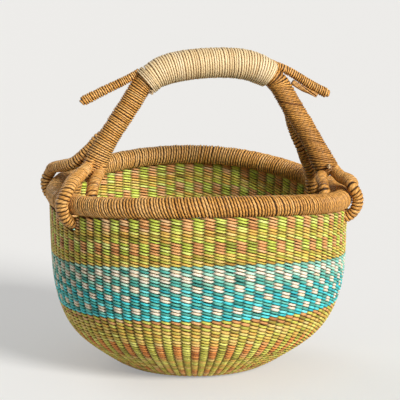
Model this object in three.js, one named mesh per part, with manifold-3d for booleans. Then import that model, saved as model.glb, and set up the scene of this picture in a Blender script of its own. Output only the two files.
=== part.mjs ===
// A small round market basket, hand-twined from dyed straw.
// A flat base turns up into a round-bellied wall of three coloured zones. The wall ends under a
// wrapped rim roll, and an arched, wrapped handle is threaded round that roll at four places.
// Millimetres, +Z up. The handle's arch runs along X and the basket's front faces -Y.
// The origin is under the middle of the object, on the surface that it stands on.

import * as THREE from "three";
import Module from "manifold-3d";
import { mergeVertices } from "three/addons/utils/BufferGeometryUtils.js";

const wasm = await Module();
wasm.setup();

// Fits
const SEAT_GAP = 0.3; // between pieces that rest on each other
const STRAND_GAP = 0.8; // between two bundles that pass each other

// Rim roll
const RIM_RADIUS = 127; // from the basket's axis to the middle of the roll
const RIM_HEIGHT = 158.2; // mean height of the middle of the roll
const RIM_CORE_RADIUS = 7.3;
const RIM_BINDING = 1.5; // thickness of the straw wound round the roll
const RIM_SADDLE = 6.5; // the rim dips at the handle's ends and rises at the front and back
const RIM_BACK_LIFT = 4.1; // the back stands higher than the front
const RIM_RIGHT_DROP = 1.7; // the right side hangs lower than the left
const RIM_HUMP = 3.6; // the roll stands this much higher again on the right of the back
const RIM_HUMP_ANGLE = 57; // in degrees from +X

// Wall and base
const WALL = 4.6; // thickness of the twined wall
const WALL_OUTSET = 5.5; // the wall's outer face stands this far outside the middle of the roll
const BASE_RADIUS = 56; // edge of the flat base
const BASE_EDGE = 6; // height where the base's rows end
const BASE_LEAN = 4; // the base sits this far to the left of the rim
const RIGHT_BELLY = 3; // the belly is this much fuller on the right
const RIGHT_BELLY_TOP = 130; // height where that fullness ends
const UPPER_ZONE = 40; // height of the green zone under the roll
const BAND_ZONE = 46.9; // height of the turquoise band
// How the belly swells from the base's edge to the rim: [share of the way out, share of the way up].
const BELLY = [
  [0, 0],
  [0.17, 0.027],
  [0.549, 0.161],
  [0.745, 0.268],
  [0.867, 0.401],
  [0.941, 0.562],
  [0.976, 0.756],
  [1, 1],
];

// Handle
const HANDLE_RISE = 109.4; // from the middle of the rim roll to the middle of the arch's crown
const LEFT_FOOT_INSET = 33.8; // from the roll's middle in to where the arm parts into its loops
const RIGHT_FOOT_INSET = 12.1;
const RIGHT_FOOT_SWEEP = 7; // the arch's right foot stands this far to the front
const HANDLE_CORE_RADIUS = 7.6;
const ARM_BINDING = 1.9; // thickness of the straw wound round the arms
const CROTCH_SWELL = 1.4; // an arm is this much thicker in radius where its loops spring from it
const CROTCH_LENGTH = 15; // and the swelling fades over this length
// The arch from the left foot to the right one: [share of the way across, of the sweep, of the rise].
const ARCH = [
  [0, 0, 0.208],
  [0.035, 0, 0.348],
  [0.149, 0, 0.681],
  [0.207, 0, 0.841],
  [0.286, 0, 0.943],
  [0.409, 0, 0.995],
  [0.605, 0, 1],
  [0.698, 0, 0.958],
  [0.782, 0, 0.857],
  [0.85, 0.07, 0.653],
  [0.921, 0.43, 0.428],
  [1, 1, 0.14],
];

// Grip, tie and knots
const GRIP_LENGTH = 109; // along the arch
const GRIP_OFFSET = 2.4; // the grip's middle lies this far to the left of the arch's middle
const GRIP_CROWN = 2.6; // the core is this much thicker in radius inside the grip
const GRIP_CROWN_LENGTH = 103;
const GRIP_CROWN_POWER = 6; // how bluntly that thickening ends
const GRIP_TURNS = 24;
const GRIP_STRAND_RADIUS = 1.45;
const GRIP_SLANT = 0.4; // the turns lean back more and more towards the right
const TIE_TO_GRIP = 5.4; // from the middle of the tie to the grip's first turn
const TIE_WIDTH = 6.4;
const TIE_THICKNESS = 4.1;
const KNOT_RADIUS = 2.4;
const KNOT_LENGTH = 6;

// Loops round the rim
const LOOP_OUTER_WIDTH = 13.6; // a loop is broader outside the rim than inside it
const LOOP_OUTER_THICKNESS = 9.8;
const LOOP_INNER_WIDTH = 11.4;
const LOOP_INNER_THICKNESS = 9.2;
const LOOP_END_RADIUS = 5.1;
const LOOP_PITCH = 11.6; // between the middles of two loop ends under an arm
const LOOP_ROCK_ROOM = 1.2; // slack above and below the roll, which lets the handle rock
const SLOT_SIDE_ROOM = 1;
const SLOT_BOTTOM_ROOM = 2.2;
// Where the loops go round the rim, in degrees from +X, seen from above.
const LOOP_ANGLES = {
  right_front_loop: -23,
  right_back_loop: 12,
  left_back_loop: 156,
  left_front_loop: 203,
};

// Ends of the bundle that stand out past the grip
const HORN_RADIUS = 4.2;
const LEFT_HORN_REACH = 63.8; // how far out the horn's tip lies from the grip's end
const RIGHT_HORN_REACH = 55.4;
const TAIL_RADIUS = 2.2;
const TAIL_REACH = 43;

const STRAW = { roughness: 0.7, metalness: 0 };
const COLOURS = {
  greenTan: 0xa8a444,
  orangeGreen: 0xb4924a,
  turquoise: 0x4fb0ac,
  golden: 0xa8752e,
  brown: 0x8a5a24,
  bundle: 0xb08a4c,
  cream: 0xe0c896,
  tan: 0xc9a06c,
};

const { degToRad, lerp, clamp, smoothstep } = THREE.MathUtils;
const group = new THREE.Group();

function add(name, geometry, colour) {
  const material = new THREE.MeshStandardMaterial({ color: colour, ...STRAW });
  const mesh = new THREE.Mesh(geometry, material);
  mesh.name = name;
  group.add(mesh);
}

// Joins rings of points, all with the same count, into one closed surface. With loop set the
// last ring joins the first, as in a sleeve. Otherwise each end closes in a fan.
function skin(rings, loop = false) {
  const sides = rings[0].length;
  const index = [];
  const joins = loop ? rings.length : rings.length - 1;
  for (let i = 0; i < joins; i++) {
    const a = i * sides;
    const b = ((i + 1) % rings.length) * sides;
    for (let j = 0; j < sides; j++) {
      const k = (j + 1) % sides;
      index.push(a + j, a + k, b + k, a + j, b + k, b + j);
    }
  }
  if (!loop) {
    const last = (rings.length - 1) * sides;
    for (let j = 1; j < sides - 1; j++) {
      index.push(0, j + 1, j);
      index.push(last, last + j, last + j + 1);
    }
  }
  const geometry = new THREE.BufferGeometry();
  geometry.setFromPoints(rings.flat());
  geometry.setIndex(index);
  return geometry;
}

// Round or flat rings along a row of points. Each ring's first axis is carried on from the ring
// before, so the tube doesn't twist, unless facing(i) gives that axis for each ring. radiusAt(share)
// gives one radius or a pair of them along the first axis and across it, and slantAt(share) leans
// a ring back along the path on the side of its first axis.
function ringsAlong(points, radiusAt, sides, firstNormal, options = {}) {
  const { closed = false, facing = null, slantAt = () => 0 } = options;
  const count = points.length;
  const normal = firstNormal.clone();
  return points.map((point, i) => {
    if (facing) normal.copy(facing(i));
    const ahead = closed ? points[(i + 1) % count] : points[Math.min(i + 1, count - 1)];
    const behind = closed ? points[(i + count - 1) % count] : points[Math.max(i - 1, 0)];
    const tangent = ahead.clone().sub(behind).normalize();
    normal.addScaledVector(tangent, -normal.dot(tangent)).normalize();
    const side = new THREE.Vector3().crossVectors(tangent, normal);
    const share = i / (count - 1);
    const radius = [radiusAt(share)].flat();
    return Array.from({ length: sides }, (_, j) => {
      const angle = (2 * Math.PI * j) / sides;
      const out = radius[0] * Math.cos(angle);
      return point
        .clone()
        .addScaledVector(normal, out)
        .addScaledVector(side, radius.at(-1) * Math.sin(angle))
        .addScaledVector(tangent, -slantAt(share) * out);
    });
  });
}

function curveThrough(points) {
  const curve = new THREE.CatmullRomCurve3(points);
  curve.arcLengthDivisions = 400;
  return curve;
}

// The point a given distance beyond the first of two points, on their line.
function straightOn(end, before, distance) {
  return end.clone().addScaledVector(end.clone().sub(before).normalize(), distance);
}

// A closed profile of [radius, height] points turned round the Z axis.
function turned(profile, segments) {
  const loop = [...profile, profile[0]].map(([r, z]) => new THREE.Vector2(r, z));
  const lathe = new THREE.LatheGeometry(loop, segments);
  lathe.rotateX(Math.PI / 2);
  lathe.deleteAttribute("normal");
  lathe.deleteAttribute("uv");
  return mergeVertices(lathe, 1e-3);
}

function solid(geometry) {
  const merged = mergeVertices(geometry.index ? geometry.toNonIndexed() : geometry, 1e-3);
  return new wasm.Manifold(
    new wasm.Mesh({
      numProp: 3,
      vertProperties: new Float32Array(merged.getAttribute("position").array),
      triVerts: new Uint32Array(merged.index.array),
    }),
  );
}

function geometryOf(manifold) {
  const mesh = manifold.getMesh();
  const geometry = new THREE.BufferGeometry();
  geometry.setAttribute("position", new THREE.BufferAttribute(mesh.vertProperties, 3));
  geometry.setIndex(new THREE.BufferAttribute(mesh.triVerts, 1));
  return geometry;
}

// Rim roll: a closed ring of bundled straw.
const RIM_SEGMENTS = 48;
const RIM_SIDES = 8;
const rimOuterRadius = RIM_CORE_RADIUS + SEAT_GAP + RIM_BINDING;

// The rim's rise and dip at an angle round the basket.
function wave(angle) {
  const lift = RIM_BACK_LIFT * Math.sin(angle) - RIM_RIGHT_DROP * Math.cos(angle);
  const hump = RIM_HUMP * Math.max(Math.cos(angle - degToRad(RIM_HUMP_ANGLE)), 0) ** 4;
  return lift + hump - RIM_SADDLE * Math.cos(2 * angle);
}

// A point near the roll: outwards from its middle, along the rim and up.
function nearRim(angle, out, along, up) {
  const reach = RIM_RADIUS + out;
  return new THREE.Vector3(
    reach * Math.cos(angle) - along * Math.sin(angle),
    reach * Math.sin(angle) + along * Math.cos(angle),
    RIM_HEIGHT + wave(angle) + up,
  );
}

// One section of the roll, with a flat side below.
function rimRing(angle, radius) {
  return Array.from({ length: RIM_SIDES }, (_, j) => {
    const turn = (2 * Math.PI * (j + 0.5)) / RIM_SIDES;
    return nearRim(angle, radius * Math.cos(turn), 0, -radius * Math.sin(turn));
  });
}

const fullTurn = Array.from({ length: RIM_SEGMENTS }, (_, i) => (2 * Math.PI * i) / RIM_SEGMENTS);
add("rim_core", skin(fullTurn.map((angle) => rimRing(angle, RIM_CORE_RADIUS)), true), COLOURS.bundle);

// The straw wound round the roll, in four lengths that meet inside the loops.
function addRimBinding(name, fromDegrees, toDegrees) {
  const joint = SEAT_GAP / 2 / RIM_RADIUS;
  const from = degToRad(fromDegrees) + joint;
  const to = degToRad(toDegrees) - joint;
  const steps = Math.ceil((to - from) / ((2 * Math.PI) / RIM_SEGMENTS));
  const angles = Array.from({ length: steps + 1 }, (_, k) => lerp(from, to, k / steps));
  const outside = angles.map((angle) => rimRing(angle, rimOuterRadius));
  const inside = angles.map((angle) => rimRing(angle, RIM_CORE_RADIUS + SEAT_GAP));
  add(name, skin([...outside, ...inside.reverse()], true), COLOURS.golden);
}

addRimBinding("rim_binding_right", LOOP_ANGLES.right_front_loop, LOOP_ANGLES.right_back_loop);
addRimBinding("rim_binding_back", LOOP_ANGLES.right_back_loop, LOOP_ANGLES.left_back_loop);
addRimBinding("rim_binding_left", LOOP_ANGLES.left_back_loop, LOOP_ANGLES.left_front_loop);
addRimBinding("rim_binding_front", LOOP_ANGLES.left_front_loop, LOOP_ANGLES.right_front_loop + 360);

// The belly's outline as a smooth curve. Its top is level with the roll's flat underside.
const WALL_SEGMENTS = RIM_SEGMENTS;
const wallTop = RIM_HEIGHT - rimOuterRadius * Math.cos(Math.PI / RIM_SIDES) - SEAT_GAP;
const wallTopRadius = RIM_RADIUS + WALL_OUTSET;
const outline = new THREE.SplineCurve(
  BELLY.map(([out, up]) => new THREE.Vector2(lerp(BASE_RADIUS, wallTopRadius, out), wallTop * up)),
);
outline.arcLengthDivisions = 800;
const bandTop = wallTop - UPPER_ZONE;
const bandBottom = bandTop - BAND_ZONE;

function shareAtHeight(height) {
  let low = 0;
  let high = 1;
  for (let i = 0; i < 40; i++) {
    const middle = (low + high) / 2;
    if (outline.getPointAt(middle).y < height) low = middle;
    else high = middle;
  }
  return low;
}

// The profile of the wall between two heights. Its ends are cut square to the wall.
function wallZone(from, to, rows) {
  const shares = [shareAtHeight(from), shareAtHeight(to)];
  const outer = [];
  const inner = [];
  for (let i = 0; i <= rows; i++) {
    const share = lerp(shares[0], shares[1], i / rows);
    const point = outline.getPointAt(share);
    const along = outline.getTangentAt(share);
    outer.push([point.x, point.y]);
    inner.push([point.x - along.y * WALL, point.y + along.x * WALL]);
  }
  return [...outer, ...inner.reverse()];
}

// Moves every point of a turned shape from the even bowl to the real, wavy and leaning one. From
// the band's top up the rows follow the rim's rise and dip in full.
function settle(geometry) {
  const at = geometry.getAttribute("position");
  for (let i = 0; i < at.count; i++) {
    const [x, y, z] = [at.getX(i), at.getY(i), at.getZ(i)];
    const angle = Math.atan2(y, x);
    const share = clamp(z / bandTop, 0, 1) ** 1.5;
    const lean = BASE_LEAN * Math.max(1 - z / RIM_HEIGHT, 0);
    const bulge = RIGHT_BELLY * Math.sin(Math.PI * clamp(z / RIGHT_BELLY_TOP, 0, 1));
    at.setXYZ(i, x - lean + bulge * Math.max(Math.cos(angle), 0) ** 2, y, z + share * wave(angle));
  }
  return geometry;
}

// Base: a flat disc of twined rows that ends where the wall turns up.
const BASE_ROWS = 3;
const baseTurn = wallZone(0, BASE_EDGE, BASE_ROWS);
const baseProfile = [[0, 0], ...baseTurn.slice(0, -1), [0, WALL]];
add("base_weave", settle(turned(baseProfile, WALL_SEGMENTS)), COLOURS.orangeGreen);

const lower = wallZone(BASE_EDGE + SEAT_GAP, bandBottom, 5);
add("lower_wall_weave", settle(turned(lower, WALL_SEGMENTS)), COLOURS.orangeGreen);

const band = wallZone(bandBottom + SEAT_GAP, bandTop, 3);
add("turquoise_band_weave", settle(turned(band, WALL_SEGMENTS)), COLOURS.turquoise);

// How far the middle of a loop stays from the middle of the roll, outside and inside the rim.
const outerReach = rimOuterRadius + STRAND_GAP + LOOP_OUTER_THICKNESS / 2;
const innerReach = rimOuterRadius + STRAND_GAP + LOOP_INNER_THICKNESS / 2;

// The slot that a loop passes through, open at the top edge of the wall and round below.
function slotCutter(angle) {
  const half = LOOP_OUTER_WIDTH / 2 + SLOT_SIDE_ROOM;
  const bottom = -(outerReach + LOOP_ROCK_ROOM + LOOP_OUTER_THICKNESS / 2 + SLOT_BOTTOM_ROOM);
  const slot = new THREE.Shape();
  slot.moveTo(half, 0);
  slot.lineTo(-half, 0);
  slot.absarc(0, bottom + half, half, Math.PI, 2 * Math.PI, false);
  slot.closePath();
  const depth = 4 * outerReach;
  const cutter = new THREE.ExtrudeGeometry(slot, { depth, bevelEnabled: false, curveSegments: 6 });
  cutter.deleteAttribute("normal");
  cutter.deleteAttribute("uv");
  const radial = new THREE.Vector3(Math.cos(angle), Math.sin(angle), 0);
  const up = new THREE.Vector3(0, 0, 1);
  const tangent = new THREE.Vector3().crossVectors(up, radial);
  const place = new THREE.Matrix4().makeBasis(tangent, up, radial);
  place.setPosition(nearRim(angle, -depth / 2, 0, 0));
  cutter.applyMatrix4(place);
  return solid(cutter);
}

const UPPER_ROWS = 3;
const upper = wallZone(bandTop + SEAT_GAP, wallTop, UPPER_ROWS);
// The top edge is cut level so that the roll sits on it.
upper[UPPER_ROWS][1] = wallTop;
upper[UPPER_ROWS + 1][1] = wallTop;
let upperWall = solid(settle(turned(upper, WALL_SEGMENTS)));
for (const degrees of Object.values(LOOP_ANGLES)) {
  upperWall = upperWall.subtract(slotCutter(degToRad(degrees)));
}
add("upper_wall_weave", geometryOf(upperWall), COLOURS.greenTan);

// Handle: one bundle bent into an arch, with straw wound round its arms.
const leftFoot = LEFT_FOOT_INSET - RIM_RADIUS;
const rightFoot = RIM_RADIUS - RIGHT_FOOT_INSET;
const arch = curveThrough(
  ARCH.map(([share, sweep, rise]) => {
    const x = lerp(leftFoot, rightFoot, share);
    return new THREE.Vector3(x, -sweep * RIGHT_FOOT_SWEEP, RIM_HEIGHT + rise * HANDLE_RISE);
  }),
);
const archLength = arch.getLength();
const across = new THREE.Vector3(0, 1, 0);
const gripMiddle = 0.5 - GRIP_OFFSET / archLength;
const gripHalf = GRIP_LENGTH / 2 / archLength;
const gripStart = gripMiddle - gripHalf;
const gripEnd = gripMiddle + gripHalf;

// The side of the arch that faces away from the basket.
function archOutward(share) {
  return new THREE.Vector3().crossVectors(across, arch.getTangentAt(share)).negate().normalize();
}

function archPoints(from, to, steps) {
  return Array.from({ length: steps + 1 }, (_, i) => arch.getPointAt(lerp(from, to, i / steps)));
}

// A point beside the arch, at a share of its length: round it by a turn angle that starts on the
// outward side and goes by the back, and leaning along it with the slant.
function aroundArch(share, angle, radius, slant = 0) {
  return arch
    .getPointAt(share)
    .addScaledVector(archOutward(share), radius * Math.cos(angle))
    .addScaledVector(across, radius * Math.sin(angle))
    .addScaledVector(arch.getTangentAt(share), -slant * radius * Math.cos(angle));
}

function coreRadius(share) {
  const fromMiddle = ((share - gripMiddle) * archLength) / (GRIP_CROWN_LENGTH / 2);
  return HANDLE_CORE_RADIUS + GRIP_CROWN * Math.sqrt(Math.max(1 - fromMiddle ** GRIP_CROWN_POWER, 0));
}

const CORE_STEPS = 60;
const CORE_SIDES = 8;
const corePoints = archPoints(0, 1, CORE_STEPS);
add("handle_core", skin(ringsAlong(corePoints, coreRadius, CORE_SIDES, archOutward(0))), COLOURS.bundle);

// The core with a clearance all round, run on past both ends, to hollow out what is wound on it.
const runOn = 4 * HANDLE_CORE_RADIUS;
const hollowPoints = [
  straightOn(corePoints[0], corePoints[1], runOn),
  ...corePoints,
  straightOn(corePoints.at(-1), corePoints.at(-2), runOn),
];
const hollowRadius = (share) => coreRadius((share * (CORE_STEPS + 2) - 1) / CORE_STEPS) + SEAT_GAP;
const hollow = solid(skin(ringsAlong(hollowPoints, hollowRadius, CORE_SIDES, archOutward(0))));

// The tie that finishes the grip's left end: a flat band that lies on the core all round.
const TIE_STEPS = 20;
const tieAt = gripStart - TIE_TO_GRIP / archLength;
const tieRadius = HANDLE_CORE_RADIUS + SEAT_GAP + TIE_THICKNESS / 2;

function tieSolid(clearance) {
  const turns = Array.from({ length: TIE_STEPS }, (_, i) => (2 * Math.PI * i) / TIE_STEPS);
  const points = turns.map((turn) => aroundArch(tieAt, turn, tieRadius));
  const section = () => [TIE_THICKNESS / 2 + clearance, TIE_WIDTH / 2 + clearance];
  const facing = (i) => aroundArch(tieAt, turns[i], 1).sub(arch.getPointAt(tieAt));
  return solid(skin(ringsAlong(points, section, 6, facing(0), { closed: true, facing }), true));
}

add("grip_end_tie", geometryOf(tieSolid(0).subtract(hollow)), COLOURS.tan);

const armRadius = HANDLE_CORE_RADIUS + SEAT_GAP + ARM_BINDING;
const ARM_STEPS = 12;
const ARM_SIDES = 10;

// The outside of what is wound on an arm. It swells towards crotchShare, and its other end may be
// slanted. With a clearance it is the room that other pieces leave for the arm.
function armOutside(from, to, crotchShare, slant, clearance = 0) {
  const points = archPoints(from, to, ARM_STEPS);
  if (crotchShare === from) points.unshift(straightOn(points[0], points[1], clearance));
  else points.push(straightOn(points.at(-1), points.at(-2), clearance));
  const radiusAt = (share) => {
    const fromCrotch = Math.abs(lerp(from, to, share) - crotchShare) * archLength;
    return armRadius + clearance + CROTCH_SWELL * Math.exp(-((fromCrotch / CROTCH_LENGTH) ** 2));
  };
  const fromCrotchEnd = (share) => (crotchShare === from ? share : 1 - share);
  const lean = { slantAt: (share) => slant * smoothstep(fromCrotchEnd(share), 0.5, 1) };
  return solid(skin(ringsAlong(points, radiusAt, ARM_SIDES, archOutward(from), lean)));
}

const tieRoom = (TIE_WIDTH / 2 + SEAT_GAP) / archLength;
const gripRoom = (2 * STRAND_GAP + GRIP_STRAND_RADIUS) / archLength;
const leftArm = [0, tieAt - tieRoom, 0, 0];
const rightArm = [gripEnd + gripRoom, 1, 1, GRIP_SLANT];
const leftBinding = armOutside(...leftArm).subtract(hollow).subtract(tieSolid(SEAT_GAP));
const rightBinding = armOutside(...rightArm).subtract(hollow);
add("left_arm_binding", geometryOf(leftBinding), COLOURS.golden);
add("right_arm_binding", geometryOf(rightBinding), COLOURS.golden);
const armRoom = armOutside(...leftArm, SEAT_GAP).add(armOutside(...rightArm, SEAT_GAP));

// The grip's binding: one strand wound round the core, with a short straight end at each side.
const STEPS_PER_TURN = 24;
const windingGap = 2 * SEAT_GAP;
const strandThickness = 2 * GRIP_STRAND_RADIUS;
const windingSteps = GRIP_TURNS * STEPS_PER_TURN;
const windingPoints = Array.from({ length: windingSteps + 1 }, (_, i) => {
  const turn = i / STEPS_PER_TURN;
  const along = i / windingSteps;
  const share = lerp(gripStart, gripEnd, along);
  const radius = coreRadius(share) + windingGap + GRIP_STRAND_RADIUS;
  return aroundArch(share, 2 * Math.PI * turn, radius, GRIP_SLANT * along);
});
const windingPath = [
  straightOn(windingPoints[0], windingPoints[1], strandThickness),
  ...windingPoints,
  straightOn(windingPoints.at(-1), windingPoints.at(-2), strandThickness),
];
const windingRings = ringsAlong(windingPath, () => GRIP_STRAND_RADIUS, 6, archOutward(gripStart));
add("grip_binding", skin(windingRings), COLOURS.cream);

// The least gap between parts of the winding that are at least half a turn apart.
let leastGap = Infinity;
for (let i = 0; i < windingPath.length; i++) {
  for (let j = i + STEPS_PER_TURN / 2; j < windingPath.length; j++) {
    leastGap = Math.min(leastGap, windingPath[i].distanceTo(windingPath[j]) - strandThickness);
  }
}
console.log("grip_binding: least gap to itself", leastGap.toFixed(2), "mm");

// Where a loop's end leaves an arm, outwards or inwards of its middle, and in front or behind.
// The first point is at the arm's end face and the second a little further, straight on.
function loopEnd(share, out, back) {
  const away = arch.getTangentAt(share).multiplyScalar(share === 0 ? -1 : 1);
  const start = arch
    .getPointAt(share)
    .addScaledVector(archOutward(share), (out * LOOP_PITCH) / 2)
    .addScaledVector(across, (back * LOOP_PITCH) / 2)
    .addScaledVector(away, 1.5 * SEAT_GAP);
  return [start, start.clone().addScaledVector(away, LOOP_END_RADIUS / 2)];
}

// A point of a strand that leaves an arm by and by: this far from that arm's foot, turned round the
// arm by an angle in degrees from its outward side by way of the back, and out from its middle.
function besideArm(foot, up, degrees, out) {
  const share = foot === 0 ? up / archLength : 1 - up / archLength;
  return aroundArch(share, degToRad(degrees), out);
}
const againstArm = armRadius + SEAT_GAP + LOOP_END_RADIUS;
const insideArm = armRadius - LOOP_END_RADIUS;

// Where a loop's middle line passes the roll, in degrees from level on the outside.
const ROLL_TURNS = [50, 5, -45, -90, -135, -180];
const LOOP_STEPS = 36;
const LOOP_SIDES = 8;

// One loop: down outside the rim, under the roll through its slot, and up again inside. Its first
// and last points lie at the arm. Those between are given outwards, along and up from the roll's
// middle, and those round the roll follow from the roll's own size.
function addLoop(name, start, outerOffsets, innerOffsets, end) {
  const angle = degToRad(LOOP_ANGLES[name]);
  const place = ([out, along, up]) => nearRim(angle, out, along, up);
  const aroundRoll = ROLL_TURNS.map((degrees, i) => {
    const turn = degToRad(degrees);
    const reach = lerp(outerReach, innerReach, i / (ROLL_TURNS.length - 1));
    const slack = LOOP_ROCK_ROOM * Math.round(Math.sin(turn));
    return nearRim(angle, reach * Math.cos(turn), 0, reach * Math.sin(turn) + slack);
  });
  const path = [...start, ...outerOffsets.map(place), ...aroundRoll, ...innerOffsets.map(place), ...end];
  const sectionAt = (share) => {
    const swell = smoothstep(share, 0, 0.25) * smoothstep(1 - share, 0, 0.25);
    const inside = smoothstep(share, 0.4, 0.75);
    const width = lerp(LOOP_OUTER_WIDTH, LOOP_INNER_WIDTH, inside);
    const thickness = lerp(LOOP_OUTER_THICKNESS, LOOP_INNER_THICKNESS, inside);
    return [lerp(LOOP_END_RADIUS, width / 2, swell), lerp(LOOP_END_RADIUS, thickness / 2, swell)];
  };
  const points = curveThrough(path).getSpacedPoints(LOOP_STEPS);
  const alongRim = new THREE.Vector3(-Math.sin(angle), Math.cos(angle), 0);
  const loop = solid(skin(ringsAlong(points, sectionAt, LOOP_SIDES, alongRim, { facing: () => alongRim })));
  add(name, geometryOf(loop.subtract(armRoom)), COLOURS.brown);
}

addLoop(
  "left_front_loop",
  loopEnd(0, 1, -1),
  [[-19.8, -23.8, 22.9], [-4, -11.5, 18.6]],
  [[-15, 0, 7], [-27, -14, 16]],
  loopEnd(0, -1, -1).reverse(),
);
addLoop(
  "left_back_loop",
  [besideArm(0, 28, 24, insideArm), besideArm(0, 20, 27, 7.8), besideArm(0, 10, 35, 10.4)],
  [[-20.5, 28.8, 24.9], [-7, 19, 20.5], [3.5, 9.5, 17.5]],
  [[-14.8, 0, 7.5], [-27, 15.7, 15]],
  loopEnd(0, -1, 1).reverse(),
);
addLoop(
  "right_front_loop",
  loopEnd(1, 1, 0),
  [[-4.2, 26, 17], [5.5, 12.5, 15]],
  [[-15, 0, 8], [-20.5, 21, 15.5]],
  loopEnd(1, -1, 0).reverse(),
);
addLoop(
  "right_back_loop",
  [besideArm(1, 36, 71, againstArm)],
  [[-16.3, -10.7, 37.5], [-6, -7.8, 26]],
  [[-15, 0, 7.5], [-18.5, -4.2, 14.5], [-24.2, -7, 24.5]],
  [besideArm(1, 22, 130, againstArm), besideArm(1, 43, 118, againstArm), besideArm(1, 64, 118, insideArm)],
);

// A rod of straw that narrows to a blunt tip over about its own radius.
function rod(path, radius, steps, sides) {
  const curve = curveThrough(path);
  const length = curve.getLength();
  const tipArea = 0.15; // of the full section
  const radiusAt = (share) => radius * Math.sqrt(clamp(((1 - share) * length) / radius + tipArea, 0, 1));
  return skin(ringsAlong(curve.getSpacedPoints(steps), radiusAt, sides, across));
}

// The two ends of the bundle, which run out from under the grip's binding. Their points are
// offsets from where the grip ends, and their roots are cut to lie on what is wound there.
const gripSeatRoom = windingGap + strandThickness + 2 * SEAT_GAP;
const gripSeatRadius = (share) => coreRadius(share) + gripSeatRoom;
const gripSeat = solid(skin(ringsAlong(archPoints(0, 1, 60), gripSeatRadius, 24, archOutward(0))));

function fromGrip(share, reach, offsets) {
  const end = arch.getPointAt(share);
  return offsets.map(([x, y, z]) => new THREE.Vector3(x, y, z).multiplyScalar(reach).add(end));
}

function addHorn(name, path) {
  const horn = solid(rod(path, HORN_RADIUS, 16, 8)).subtract(gripSeat).subtract(tieSolid(2 * SEAT_GAP));
  add(name, geometryOf(horn), COLOURS.golden);
}

addHorn("left_horn", fromGrip(gripStart, LEFT_HORN_REACH, [
  [-0.175, 0.03, 0.06],
  [-0.39, 0.03, -0.055],
  [-0.646, 0.03, -0.172],
  [-1, 0.03, -0.34],
]));
addHorn("right_horn", fromGrip(gripEnd, RIGHT_HORN_REACH, [
  [0.035, 0.036, 0.18],
  [0.33, 0.036, 0.05],
  [0.716, 0.036, -0.188],
  [1, 0.036, -0.335],
]));

const tailPath = fromGrip(gripEnd, TAIL_REACH, [
  [0.47, -0.065, -0.145],
  [0.66, -0.065, -0.27],
  [0.84, -0.065, -0.36],
  [1, -0.065, -0.44],
]);
const tail = solid(rod(tailPath, TAIL_RADIUS, 10, 6)).subtract(armRoom);
add("right_horn_tail", geometryOf(tail), COLOURS.golden);

// A trimmed knot of straw, which stands on an arm's winding at a turn angle in degrees.
function addKnot(name, share, degrees, radius) {
  const turn = degToRad(degrees);
  const root = aroundArch(share, turn, radius);
  const outward = aroundArch(share, turn, KNOT_LENGTH).sub(arch.getPointAt(share));
  add(name, rod([root, root.clone().add(outward)], KNOT_RADIUS, 4, 6), COLOURS.tan);
}

const besideTie = (TIE_WIDTH / 2 + KNOT_RADIUS + 2 * SEAT_GAP) / archLength;
addKnot("grip_tie_knot", tieAt - besideTie, 225, armRadius + SEAT_GAP);
addKnot("right_crotch_knot", 1 - KNOT_RADIUS / archLength, 272, armRadius + CROTCH_SWELL + SEAT_GAP);

// The origin goes under the middle of the whole object.
const middle = new THREE.Box3().setFromObject(group).getCenter(new THREE.Vector3());
group.position.set(-middle.x, -middle.y, 0);

export default group;
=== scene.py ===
# %% [markdown]
# # A small round market basket, twined from dyed straw
#
# The real basket is made by hand from one material, twisted grass straw. Stiff straw stakes run from
# the middle of the base up to the rim, and pairs of dyed strands are twined round them, row on row.
# A straw-wrapped roll closes the top edge, and an arched, wrapped handle is threaded round that roll.
#
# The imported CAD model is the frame: it gives each piece its place and its size. Every visible strand
# is then laid as its own tube, because a woven thing looks right only when its strands really cross.

import math

import bpy
import numpy as np
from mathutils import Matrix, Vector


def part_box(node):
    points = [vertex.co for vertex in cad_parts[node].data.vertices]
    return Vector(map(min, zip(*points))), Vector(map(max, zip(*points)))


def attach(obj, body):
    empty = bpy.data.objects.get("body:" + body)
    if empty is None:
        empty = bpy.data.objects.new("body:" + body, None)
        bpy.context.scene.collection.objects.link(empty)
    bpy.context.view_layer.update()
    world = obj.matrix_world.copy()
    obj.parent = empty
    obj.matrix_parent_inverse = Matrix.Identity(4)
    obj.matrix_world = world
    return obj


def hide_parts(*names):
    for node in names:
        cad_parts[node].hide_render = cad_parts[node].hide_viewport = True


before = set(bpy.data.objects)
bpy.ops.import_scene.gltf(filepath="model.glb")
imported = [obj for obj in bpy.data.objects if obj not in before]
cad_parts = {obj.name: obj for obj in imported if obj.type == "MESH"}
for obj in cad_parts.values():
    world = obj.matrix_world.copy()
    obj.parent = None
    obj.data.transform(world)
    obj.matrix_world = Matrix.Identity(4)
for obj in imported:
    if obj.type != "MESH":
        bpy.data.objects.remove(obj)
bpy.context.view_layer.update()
rim_low, rim_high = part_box("rim_core")
axis_x = 500 * (rim_low.x + rim_high.x)
axis_y = 500 * (rim_low.y + rim_high.y)
print("rim axis at", round(axis_x, 2), round(axis_y, 2), "mm")

# %% [markdown]
# ## Camera
#
# The photograph looks at the front from a little to the left and above, through a long lens. The
# camera stands 1.57 m from the basket, which gives the rim the slightly open ellipse of the photo.
# It stands on a ball round a point inside the basket and looks a little past that point, so that the
# basket sits in the frame as it does in the photo. Sizes are in millimetres up to the moment when a
# mesh is made, as on the CAD side.

# %% Camera
MM = 0.001
CAMERA_AZIMUTH = math.radians(-12)
CAMERA_ELEVATION = math.radians(9.4)
CAMERA_DISTANCE = 1572
CAMERA_CENTRE = np.array([0, 0, 137.4])
CAMERA_AIM = np.array([0.9, 0, 146.3])
FOCAL_PIXELS = 1764
IMAGE_PIXELS = 400


def in_metres(points):
    """Millimetres from the rim's axis to metres in the CAD frame."""
    return (np.asarray(points, float) + [axis_x, axis_y, 0]) * MM


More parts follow.
